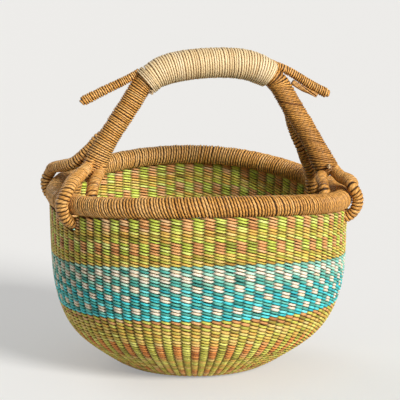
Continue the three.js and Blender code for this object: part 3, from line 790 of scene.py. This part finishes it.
def wound(points, facing, half_first, half_second, pitch, dye, seed, around=14, slant=0.6, straw=0.95,
          lean=0, tone=0, gap_shade="shade_brown", crest=1.4, flank=0.4, unlike=0.2, cover=0.85):
    """A straw wound round a path, and the bundle inside it, as two parts.

    Turn t has its middle at share t / turns of the path and goes round by 2 pi t. The strand's centre
    is path + (half_first - straw) cos first + (half_second - straw) sin second. A straw is cover
    times as wide as the way to the turns beside it, so that it covers the bundle in bends too. slant
    tips each turn by a random amount, and lean lays all turns further along on the first side. tone
    lightens or darkens the dye, and unlike says how far the turns differ in shade. crest and flank
    are the painted light on a turn's back and the painted shade at its edges. gap_shade names the dye
    of the bundle, which is darkened as painted shade because it shows only in the gaps.
    """
    rng = np.random.default_rng(seed)
    length = np.append(0, np.cumsum(np.linalg.norm(np.diff(points, axis=0), axis=1)))
    first, second = axes_along(points, facing)
    turns = int(round(length[-1] / pitch))
    t = np.arange(turns * around + 1) / around
    turn = np.minimum(t.astype(int), turns - 1)
    widths = np.clip(1 + WIDTH_UNEVEN * rng.normal(0, 1, turns), 0.6, 1.4)
    edges = np.append(0, np.cumsum(widths)) / widths.sum() * length[-1]
    middle = np.interp(t, np.arange(turns + 1), edges)
    angle = 2 * np.pi * t
    tilt = slant * np.interp(t, np.arange(turns + 2), rng.normal(0, 0.6, turns + 2))
    from_end = np.minimum(middle, length[-1] - middle)
    leaning = np.interp(middle, length, half_first * lean) * smoothstep(from_end, 0, LEAN_SETS_IN)
    leaning = leaning * np.cos(angle)
    twist = tilt * np.sin(angle + 0.7 * rng.normal(0, 1, turns)[turn])
    middle = np.clip(middle + twist + leaning, 0, length[-1])

    def along(values):
        """Values on the path's points, read off where the strand is."""
        return np.interp(middle, length, np.broadcast_to(values, length.shape))

    centre = np.stack([along(column) for column in points.T], axis=1)
    one = unit(np.stack([along(column) for column in first.T], axis=1))
    two = unit(np.stack([along(column) for column in second.T], axis=1))
    lift = straw * (1 + LIFT_UNEVEN * np.interp(t, np.arange(turns + 2), rng.normal(0, 1, turns + 2)))
    a = (along(half_first) - lift)[:, None]
    b = (along(half_second) - lift)[:, None]
    cos, sin = np.cos(angle)[:, None], np.sin(angle)[:, None]
    strand = centre + a * cos * one + b * sin * two
    facing_out = unit(b * cos * one + a * sin * two)
    out, beside = axes_along(strand, facing_out)
    to_next = np.linalg.norm(strand[around:] - strand[:-around], axis=1)
    half = cover / 4 * (np.append(to_next, to_next[-around:]) + np.append(to_next[:around], to_next))
    vertices, faces, grain = tubes(strand[None], out[None], beside[None], straw, half)
    grain[:, 2] = seed
    shade = unlike * (rng.normal(0, 1, turns) + 0.4 * slow_noise(rng, turns, 6))
    colour = shaded(dyed(dye, shade[turn] + along(tone)), crest, inside=0.3, flank=flank)
    core = tubes(
        points[None], first[None], second[None],
        half_first - BUNDLE_DEPTH * straw, half_second - BUNDLE_DEPTH * straw, sides=BUNDLE_SIDES,
    )
    # Painted shade: the bundle shows only between turns, so its dye is darkened to 0.7; its end rings
    # keep the straw's dye.
    core_shade = np.tile(DYE[gap_shade][0] * 0.7, (len(core[0]), 1))
    core_shade[:BUNDLE_SIDES] = core_shade[-BUNDLE_SIDES:] = DYE[dye][0]
    return (vertices, faces, grain, colour), (*core, core_shade)


# %% Rounded ends
def round_end(length, radius):
    """Share of the full radius at a length from a rounded end: 1 beyond radius, 0.39 at the end."""
    return np.sqrt(1 - 0.85 * np.clip(1 - length / radius, 0, 1) ** 2)


print("a rounded end starts at", round(float(round_end(0, 1)), 2), "of the full radius")

# %% [markdown]
# ## Rim
#
# The rim roll is a ring of straw with the winding drawn tight round it. The roll is one closed path,
# so one wound straw dresses it, and that piece stands for all four bindings of the CAD model. The
# straw's colour carries painted light and shade: it is palest at the back left and brownest at the
# front right.

# %% The wound rim
RIM_STEPS = 241
RIM_PITCH = 2.55
angle = np.linspace(0, 2 * np.pi, RIM_STEPS)
rim_path = np.stack([
    RIM_RADIUS * np.cos(angle), RIM_RADIUS * np.sin(angle), RIM_HEIGHT + rim_wave(angle),
], axis=1)
rim_facing = np.broadcast_to([0, 0, 1], (RIM_STEPS, 3))
rim_half = np.full(RIM_STEPS, RIM_ROLL)
# tone paints light and shade round the roll: paler at the back left, browner at the front right.
rim_windings, rim_inside = wound(
    rim_path, rim_facing, rim_half, rim_half, RIM_PITCH, "golden", 61, lean=-0.2,
    tone=0.2 + 0.2 * np.sin(angle) - 0.28 * np.cos(angle),
)
make_piece("rim_winding", [rim_windings], "basket", wound_straw, [
    "rim_binding_right", "rim_binding_back", "rim_binding_left", "rim_binding_front",
])
make_piece("rim_bundle", [rim_inside], "basket", bundled_straw, ["rim_core"])

# %% [markdown]
# ## Handle
#
# One bundle is bent into an arch. Its middle line is a smooth curve through a few points of the
# photo, given as shares of its span, its sweep at the right foot and its rise over the rim. Whatever
# sits on the arch finds its place by its share of that line, so it follows the bend.

# %% The arch
HANDLE_RISE = 109.4
LEFT_FOOT = 33.8 - RIM_RADIUS
RIGHT_FOOT = RIM_RADIUS - 12.1
RIGHT_FOOT_SWEEP = 7
ARCH_STEPS = 601
ARCH = np.array([
    [0, 0, 0.208], [0.035, 0, 0.348], [0.149, 0, 0.681], [0.207, 0, 0.841],
    [0.286, 0, 0.943], [0.409, 0, 0.995], [0.605, 0, 1], [0.698, 0, 0.958],
    [0.782, 0, 0.857], [0.85, 0.07, 0.653], [0.921, 0.43, 0.428], [1, 1, 0.14],
])
arch, ARCH_LENGTH = curve_through(np.stack([
    LEFT_FOOT + (RIGHT_FOOT - LEFT_FOOT) * ARCH[:, 0],
    -ARCH[:, 1] * RIGHT_FOOT_SWEEP,
    RIM_HEIGHT + HANDLE_RISE * ARCH[:, 2],
], axis=1), ARCH_STEPS)
ACROSS = np.array([0, 1, 0])
arch_tangent = unit(np.gradient(arch, axis=0))
arch_outward = unit(-np.cross(ACROSS, arch_tangent))
share_along = np.linspace(0, 1, ARCH_STEPS)


def on_arch(share):
    """Point, outward direction and tangent at a share of the arch, which runs on past its feet."""
    inside = np.clip(share, 0, 1)
    point, outward, tangent = (
        np.stack([np.interp(inside, share_along, column) for column in values.T], axis=-1)
        for values in (arch, arch_outward, arch_tangent)
    )
    past = np.multiply.outer((share - inside) * ARCH_LENGTH, [1, 1, 1])
    return point + past * tangent, outward, tangent


def around_arch(share, degrees, radius):
    """A point beside the arch: round it from its outward side by the back."""
    point, facing, _ = on_arch(share)
    turn = math.radians(degrees)
    return point + radius * (math.cos(turn) * facing + math.sin(turn) * ACROSS)


print("arch", round(ARCH_LENGTH, 1), "mm")

# %% [markdown]
# ## The arms of the handle
#
# Golden straw is wound round both arms, from the grip down to where the bundle parts into the loops.
# There the winding swells over the parting strands and then closes in a rounded end. On the right arm
# the turns lie steeply askew, as in the photo.

# %% The arms
GRIP_LENGTH = 109
GRIP_MIDDLE = 0.5 - 2.4 / ARCH_LENGTH
GRIP_HALF = GRIP_LENGTH / 2 / ARCH_LENGTH
GRIP_START = GRIP_MIDDLE - GRIP_HALF
GRIP_END = GRIP_MIDDLE + GRIP_HALF
TIE_AT = GRIP_START - 5.4 / ARCH_LENGTH
TIE_WIDTH = 6.4
ARM = 9.8
ARM_STEPS = 160
ARM_GAP = 1.6 / ARCH_LENGTH
FOOT_SWELL = 1.4
FOOT_SWELL_REACH = 15
PAST_LEFT_FOOT = 16 / ARCH_LENGTH
PAST_RIGHT_FOOT = 7 / ARCH_LENGTH
HANDLE_PITCH = 2.05


def arm_winding(start, end, foot, lean, tone, seed):
    """Straw wound between two shares of the arch, foot being the share where the arm ends.

    The radius is ARM, and FOOT_SWELL exp(-(way to the foot / FOOT_SWELL_REACH) squared) more near
    the foot. Past the foot it shrinks with the square of the way.
    """
    share = np.linspace(start, end, ARM_STEPS)
    points, facing, _ = on_arch(share)
    to_foot = (share - foot) * ARCH_LENGTH
    past_foot = np.maximum(to_foot if foot else -to_foot, 0)
    radius = ARM + FOOT_SWELL * np.exp(-((to_foot / FOOT_SWELL_REACH) ** 2)) - 0.012 * past_foot**2
    radius = radius * round_end(past_foot.max() - past_foot, 6)
    return wound(points, facing, radius, radius, HANDLE_PITCH, "golden", seed, lean=lean, tone=tone)


left_windings, left_inside = arm_winding(-PAST_LEFT_FOOT, TIE_AT - ARM_GAP, 0, 0.05, 0.2, 71)
right_windings, right_inside = arm_winding(GRIP_END + ARM_GAP, 1 + PAST_RIGHT_FOOT, 1, 0.85, -0.35, 72)
make_piece(
    "left_arm_winding", [left_windings], "handle", wound_straw, ["left_arm_binding"],
)
make_piece(
    "right_arm_winding", [right_windings], "handle", wound_straw, ["right_arm_binding"],
)

# %% [markdown]
# ## The grip
#
# Pale straw is wound close over the middle of the arch, on some padding, so the grip is thicker than
# the arms and full almost up to its ends. The same winding helper makes it, with finer straws, more
# even turns and light flanks, because light passes through pale straw. At three places one straw ends
# and the next begins, which shows as a shallow seam.

# %% The grip
HANDLE_CORE = 7.6
GRIP_PADDING = 0.6
GRIP_STRAW = 1.45
GRIP_CROWN = 2.6
GRIP_STEPS = 200
GRIP_PITCH = 2.2
SEAMS = (0.36, 0.64, 0.85)
SEAM_WIDTH = 0.008
SEAM_DEPTH = 0.3
grip_share = np.linspace(GRIP_START - 1.5 / ARCH_LENGTH, GRIP_END + 1 / ARCH_LENGTH, GRIP_STEPS)
grip_points, grip_facing, _ = on_arch(grip_share)
from_middle = (grip_share - GRIP_MIDDLE) / GRIP_HALF
crown = GRIP_CROWN * np.sqrt(np.maximum(1 - from_middle**10, 0.2))
grip_radius = HANDLE_CORE + GRIP_PADDING + 2 * GRIP_STRAW + crown
along_grip = np.linspace(0, 1, GRIP_STEPS)
seams = sum(np.exp(-(((along_grip - seam) / SEAM_WIDTH) ** 2)) for seam in SEAMS)
grip_half = grip_radius - SEAM_DEPTH * seams
grip_windings, grip_inside = wound(
    grip_points, grip_facing, grip_half, grip_half, GRIP_PITCH, "grip", 73,
    around=18, slant=0.4, straw=0.75, lean=-0.15 * along_grip**3,
    tone=0.35 * (along_grip > 0.86) - 0.5 * seams, gap_shade="tan",
    crest=1.3, flank=2.4, unlike=0.14, cover=0.94,
)
make_piece("grip_winding", [grip_windings], "handle", pale_straw, ["grip_binding"])
make_piece(
    "handle_bundle", [left_inside, grip_inside, right_inside], "handle", bundled_straw,
    ["handle_core"],
)

# %% [markdown]
# ## The loops round the rim
#
# At each foot the bundle parts in two, and each part goes down outside the roll, through the wall
# under it and up again inside, wound with straw all the way. That is what holds the handle. A bent
# ring would be simpler, but the parts leave the arm at unlike slants. So each loop is one smooth curve
# through points: first beside the arm, then round the roll, then back to the arm.

# %% Points of a loop
LOOP_END = 5.1
LOOP_OFFSET = 5.8
LOOP_GAP = 0.45
LOOP_RUN_IN = 4
# How far a loop's middle line stays from the roll's, in degrees from level on the outside.
ROUND_THE_ROLL = ((50, 15.2), (5, 14.6), (-45, 15), (-90, 15.6), (-135, 14.9), (-180, 14.3))


def loop_end(share, out, behind):
    """The first two points of a loop at a foot of the arch, on its outward side or behind it."""
    point, facing, tangent = on_arch(share)
    away = tangent * (-1 if share == 0 else 1)
    start = point + facing * out * LOOP_OFFSET + ACROSS * behind * LOOP_OFFSET + away * LOOP_GAP
    return [start - away * LOOP_RUN_IN, start + away * LOOP_END / 2]


def beside_arm(foot, up, degrees, out):
    """A point beside an arm, some millimetres up from its foot."""
    share = up / ARCH_LENGTH if foot == 0 else 1 - up / ARCH_LENGTH
    return around_arch(share, degrees, out)


def near_rim(angle, out, along, up):
    """A point beside the roll's middle line: outwards, along the rim and upwards from it."""
    reach = RIM_RADIUS + out
    return np.array([
        reach * math.cos(angle) - along * math.sin(angle),
        reach * math.sin(angle) + along * math.cos(angle),
        RIM_HEIGHT + rim_wave(angle) + up,
    ])


print("loops at", [round(math.degrees(angle)) for angle in LOOP_ANGLES.values()], "degrees")

# %% One loop
LOOP_STEPS = 140
LOOP_PITCH = 2.9
LOOP_WIDTH = 7.2
LOOP_THICK = 5.2
INSIDE_NARROWER = 1.3
INSIDE_THINNER = 0.3
SHOULDER = 0.7


def make_loop(name, start, outer, inner, end, seed, bare_start=False):
    """Down outside the rim, under the roll and up inside, as one wound bundle.

    It is a flat oval across: LOOP_END at both ends, and swelling to LOOP_WIDTH by LOOP_THICK between.
    On the shoulder, where it turns down over the roll, it is thicker by SHOULDER.
    """
    angle = LOOP_ANGLES[name]
    middle = [
        near_rim(angle, reach * math.cos(math.radians(turn)), 0, reach * math.sin(math.radians(turn)))
        for turn, reach in ROUND_THE_ROLL
    ]
    knots = [
        *start,
        *(near_rim(angle, *offset) for offset in outer),
        *middle,
        *(near_rim(angle, *offset) for offset in inner),
        *end,
    ]
    points, length = curve_through(knots, LOOP_STEPS)
    share = np.linspace(0, 1, LOOP_STEPS)
    swell = smoothstep(share, 0, 0.25) * smoothstep(1 - share, 0, 0.25)
    inside = smoothstep(share, 0.4, 0.75)
    width = LOOP_END + (LOOP_WIDTH - INSIDE_NARROWER * inside - LOOP_END) * swell
    shoulder = smoothstep(share, 0, 0.2) * smoothstep(share, 0.36, 0.24)
    thickness = LOOP_END + (LOOP_THICK - INSIDE_THINNER * inside - LOOP_END) * swell
    thickness = thickness + SHOULDER * shoulder
    closing = round_end(share * length, LOOP_END) if bare_start else 1
    along_rim = np.array([-math.sin(angle), math.cos(angle), 0])
    windings, core = wound(
        points, along_rim, width * closing, thickness * closing, LOOP_PITCH, "golden", seed,
        slant=0.4, tone=0.12 - 0.12 * math.cos(angle), flank=0.6, cover=0.95,
    )
    make_piece(name + "_winding", [windings, core], "handle", wound_straw, [name])


# %% The four loops
# Points near the rim are millimetres outwards, along the rim and upwards from the roll's middle line.
AGAINST_ARM = ARM + 0.3 + LOOP_END
INSIDE_ARM = ARM - LOOP_END
make_loop(
    "left_front_loop", loop_end(0, 1, -1),
    [(-19.8, -23.8, 22.9), (-4, -11.5, 18.6)], [(-15, 0, 7), (-27, -14, 16)],
    loop_end(0, -1, -1)[::-1], 81,
)
make_loop(
    "left_back_loop",
    [beside_arm(0, 28, 24, INSIDE_ARM), beside_arm(0, 20, 27, 7.8), beside_arm(0, 10, 35, 10.4)],
    [(-20.5, 28.8, 23.6), (-7, 19, 19.2), (3.5, 9.5, 16.4)], [(-14.8, 0, 7.5), (-27, 15.7, 15)],
    loop_end(0, -1, 1)[::-1], 82,
)
make_loop(
    "right_front_loop", loop_end(1, 1, 0),
    [(-4.2, 26, 17), (5.5, 12.5, 15)], [(-15, 0, 8), (-20.5, 21, 15.5)],
    loop_end(1, -1, 0)[::-1], 83,
)
make_loop(
    "right_back_loop", [beside_arm(1, 36, 71, AGAINST_ARM)],
    [(-16.3, -10.7, 37.5), (-6, -7.8, 26)],
    [(-15, 0, 7.5), (-18.5, -4.2, 14.5), (-24.2, -7, 24.5)],
    [
        beside_arm(1, 22, 130, AGAINST_ARM),
        beside_arm(1, 43, 118, AGAINST_ARM),
        beside_arm(1, 64, 118, INSIDE_ARM),
    ], 84, True,
)

# %% [markdown]
# ## The ends of the bundle
#
# The straws of the grip run out past it on both sides, bound into two wound horns that point down and
# outwards. Under the right one hangs a thin tail of bare straws. The horns use the winding helper.
# The tail is too thin for it, so its straws are laid one by one round a middle one.

# %% Horns
HORN_RADIUS = 4.6
HORN_STEPS = 60
LEFT_HORN = 63.8
RIGHT_HORN = 55.4


def from_grip(share, reach, offsets):
    """Points beside one end of the grip, as shares of a reach."""
    return on_arch(share)[0] + reach * np.array(offsets)


def make_horn(name, knots, radius, seed, node):
    """A wound end that grows from 0.84 to 1.04 of its radius and closes in a rounded tip."""
    points, length = curve_through(knots, HORN_STEPS)
    share = np.linspace(0, 1, HORN_STEPS)
    from_tip = (1 - share) * length
    half = radius * (0.84 + 0.2 * share) * round_end(from_tip, radius)
    windings, core = wound(
        points, ACROSS, half, half, HANDLE_PITCH, "golden", seed, around=12, straw=0.8,
        tone=0.15 - 0.3 * smoothstep(from_tip, 4, 1), unlike=0.16,
    )
    make_piece(name, [windings, core], "handle", wound_straw, [node])


make_horn("left_horn_winding", from_grip(GRIP_START, LEFT_HORN, [
    (-0.175, 0.03, 0.06), (-0.39, 0.03, -0.055), (-0.646, 0.03, -0.172), (-1, 0.03, -0.34),
]), HORN_RADIUS, 91, "left_horn")
make_horn("right_horn_winding", from_grip(GRIP_END, RIGHT_HORN, [
    (0.035, 0.036, 0.18), (0.33, 0.036, 0.05), (0.716, 0.036, -0.188), (1, 0.036, -0.335),
]), HORN_RADIUS, 92, "right_horn")


# %% The tail
def fanned_straws(points, straws, begin, finish, half, seed, twist=0):
    """One straw on a path and the others round it, in a ring that opens from one radius to another.

    A straw's path = points + radius (cos(turn) first + sin(turn) second), and its turn grows by twist.
    """
    rng = np.random.default_rng(seed)
    steps = len(points)
    first, second = axes_along(points, ACROSS)
    turn = (2 * np.pi * np.arange(straws) / (straws - 1) + rng.normal(0, 0.2, straws))[:, None, None]
    turn = turn + twist * np.linspace(0, 1, steps)[None, :, None]
    reach = np.linspace(begin, finish, steps)[None, :, None] * (1 + rng.normal(0, 0.15, (straws, 1, 1)))
    reach[0] = 0
    path = points + reach * (np.cos(turn) * first + np.sin(turn) * second)
    facing = np.broadcast_to(np.cos(turn) * first + np.sin(turn) * second, path.shape)
    out, beside = axes_along(path, facing)
    tip = half * np.sqrt(np.clip((1 - np.linspace(0, 1, steps)) * 12 + 0.3, 0, 1))
    vertices, faces, grain = tubes(path, out, beside, tip, tip)
    tone = np.repeat(0.5 * rng.normal(0, 1, straws) + 0.2, steps)
    return vertices, faces, grain, tone


TAIL = 43
TAIL_STEPS = 24
tail_points, _ = curve_through(from_grip(GRIP_END, TAIL, [
    (0.47, -0.065, -0.145), (0.66, -0.065, -0.27), (0.84, -0.065, -0.36), (1, -0.065, -0.44),
]), TAIL_STEPS)
*tail, tone = fanned_straws(tail_points, 9, begin=1.45, finish=1.3, half=0.85, seed=93, twist=2.5)
make_piece(
    "right_horn_tail_straws", [(*tail, shaded(dyed("golden", 0.5 * tone), 1.06, 0.5, 1.5))],
    "handle", wound_straw, ["right_horn_tail"],
)

# %% [markdown]
# ## The tie and the knots
#
# Where the pale winding ends at the left, a narrow tie of fine straws holds it down. Its straws are
# rings side by side round the arch, on a flat bed that fills the gaps between them and is coloured
# dark as painted shade. Two binding straws end in trimmed knots: short stubs that spread a little,
# made as the tail is.

# %% The tie
TIE_STEPS = 48
TIE_RADIUS = 11.9
TIE_BED_RADIUS = 9.2
TIE_BED_THICK = 2.2


def tie_straws(straws, seed):
    """Fine straws side by side round the arch, each shifted along it by a small wave, and their bed."""
    rng = np.random.default_rng(seed)
    turn = np.linspace(0, 2 * np.pi, TIE_STEPS + 1)[:-1]
    point, facing, tangent = on_arch(TIE_AT)
    cos, sin = np.cos(turn)[:, None], np.sin(turn)[:, None]
    out = cos * facing + sin * ACROSS
    half = TIE_WIDTH / straws / 2
    parts = []
    for i in range(straws):
        shift = (2 * i + 1 - straws) * half + 0.3 * np.cos(turn + rng.uniform(0, 6))[:, None]
        path = point + (TIE_RADIUS + 0.15 * rng.normal()) * out + shift * tangent
        beside = np.broadcast_to(tangent, path.shape)
        vertices, faces, grain = tubes(path[None], out[None], beside[None], 0.9, 1.05 * half, ring=True)
        colour = dyed("grip", np.full(TIE_STEPS, 0.25 * rng.normal()))
        parts.append((vertices, faces, grain, shaded(colour, 1.05, 0.5, 2.6)))
    bed_path = (point + TIE_BED_RADIUS * out)[None]
    beside = np.broadcast_to(tangent, bed_path.shape)
    bed = tubes(bed_path, out[None], beside, TIE_BED_THICK, TIE_WIDTH / 2, ring=True)
    # Painted shade: the bed shows only in the gaps between the straws, so it takes a dark tan.
    parts.append((*bed, np.broadcast_to(DYE["tan"][2], (len(bed[0]), 3))))
    return parts


make_piece("grip_end_tie_straws", tie_straws(4, 95), "handle", pale_straw, ["grip_end_tie"])


# %% The knots
KNOT_RADIUS = 2.4
KNOT_SUNK = 1
KNOT_LENGTH = 3.5


def make_knot(name, node, share, degrees, radius, seed):
    """A trimmed tuft: a few short straws that spread a little."""
    root = around_arch(share, degrees, radius - KNOT_SUNK)
    tip = around_arch(share, degrees, radius + KNOT_LENGTH)
    points = np.linspace(root, tip, 8)
    *straws, tone = fanned_straws(points, 7, begin=0.9, finish=1.5, half=0.8, seed=seed)
    colour = shaded(dyed("tan", tone), 1.0)
    make_piece(name, [(*straws, colour)], "handle", wound_straw, [node])


beside_tie = (TIE_WIDTH / 2 + KNOT_RADIUS + 0.6) / ARCH_LENGTH
make_knot("grip_tie_tuft", "grip_tie_knot", TIE_AT - beside_tie, 225, ARM + 0.3, 96)
make_knot("right_crotch_tuft", "right_crotch_knot", 1 - KNOT_RADIUS / ARCH_LENGTH, 272, ARM + 1.7, 97)

# %% [markdown]
# ## Floor
#
# A plain floor of matt paper, which keeps the basket's shadow. A white floor would throw light up
# under the rows, so the paper is grey, and only rays from the camera or a shiny surface see it lifted
# by a weak glow.

# %% Floor
FLOOR_SIZE = 24
FLOOR_LIFT = 0.3
floor_mesh = bpy.data.meshes.new("floor")
corners = np.array([[-1, -1, 0], [1, -1, 0], [1, 1, 0], [-1, 1, 0]]) * FLOOR_SIZE / 2
floor_mesh.from_pydata(corners.tolist(), [], [(0, 1, 2, 3)])
floor = add_object("floor", floor_mesh)
# Uncoated paper, pressed and not glazed: its rough fibres scatter light, so it has no highlight.
floor_material = bpy.data.materials.new("matt_paper_floor")
tree = empty_tree(floor_material)
matt = add_node(
    tree, "ShaderNodeBsdfPrincipled", {"Base Color": (*linear("C8C6C2"), 1), "Roughness": 0.9},
)
rays = add_node(tree, "ShaderNodeLightPath")
seen = add_node(
    tree, "ShaderNodeMath", {0: rays.outputs["Is Camera Ray"], 1: rays.outputs["Is Glossy Ray"]},
    operation="MAXIMUM",
)
lift = add_node(tree, "ShaderNodeMath", {0: seen.outputs["Value"], 1: FLOOR_LIFT}, operation="MULTIPLY")
paler = add_node(tree, "ShaderNodeEmission", {"Color": (1, 1, 1, 1), "Strength": lift.outputs["Value"]})
both = add_node(tree, "ShaderNodeAddShader", {0: matt.outputs["BSDF"], 1: paler.outputs["Emission"]})
add_node(tree, "ShaderNodeOutputMaterial", {"Surface": both.outputs["Shader"]})
floor_mesh.materials.append(floor_material)
print("floor", FLOOR_SIZE, "m wide")

# %% [markdown]
# ## Light
#
# A broad soft light comes from the right front and above, as in the photo, and a weaker one from
# behind on the left, which keeps the far side from going dull. Both are sun lamps, which light the
# whole floor evenly: an area lamp near the basket would burn out the floor beside it. The world adds
# plain light from all round, and it is pale where the camera looks past the floor.

# %% Lamps and world
LAMP_AIM = (0, 0, 0.13)
WORLD_LIGHT = 0.31


def add_lamp(name, place, spread, strength):
    """A lamp as far off as the sun. spread is the angle it fills in the sky, in degrees."""
    data = bpy.data.lights.new(name, "SUN")
    data.angle = math.radians(spread)
    data.energy = strength
    lamp = add_object(name, data)
    place_and_turn(lamp, place, Vector(LAMP_AIM) - Vector(place))
    print(name, "lamp fills", spread, "degrees, strength", strength)


add_lamp("key", (1.34, -2.32, 1.33), 21, 4.05)
add_lamp("fill", (-0.9, 2.1, 1.3), 34, 0.6)
world = bpy.data.worlds.new("room")
bpy.context.scene.world = world
tree = empty_tree(world)
path = add_node(tree, "ShaderNodeLightPath")
lit = add_node(tree, "ShaderNodeBackground", {"Color": (1, 1, 1, 1), "Strength": WORLD_LIGHT})
seen = add_node(tree, "ShaderNodeBackground", {"Color": (*linear("EFEDEA"), 1), "Strength": 1.0})
both = add_node(tree, "ShaderNodeMixShader", {
    "Fac": path.outputs["Is Camera Ray"], 1: lit.outputs["Background"], 2: seen.outputs["Background"],
})
add_node(tree, "ShaderNodeOutputWorld", {"Surface": both.outputs["Shader"]})
bpy.context.scene.view_settings.view_transform = "Standard"
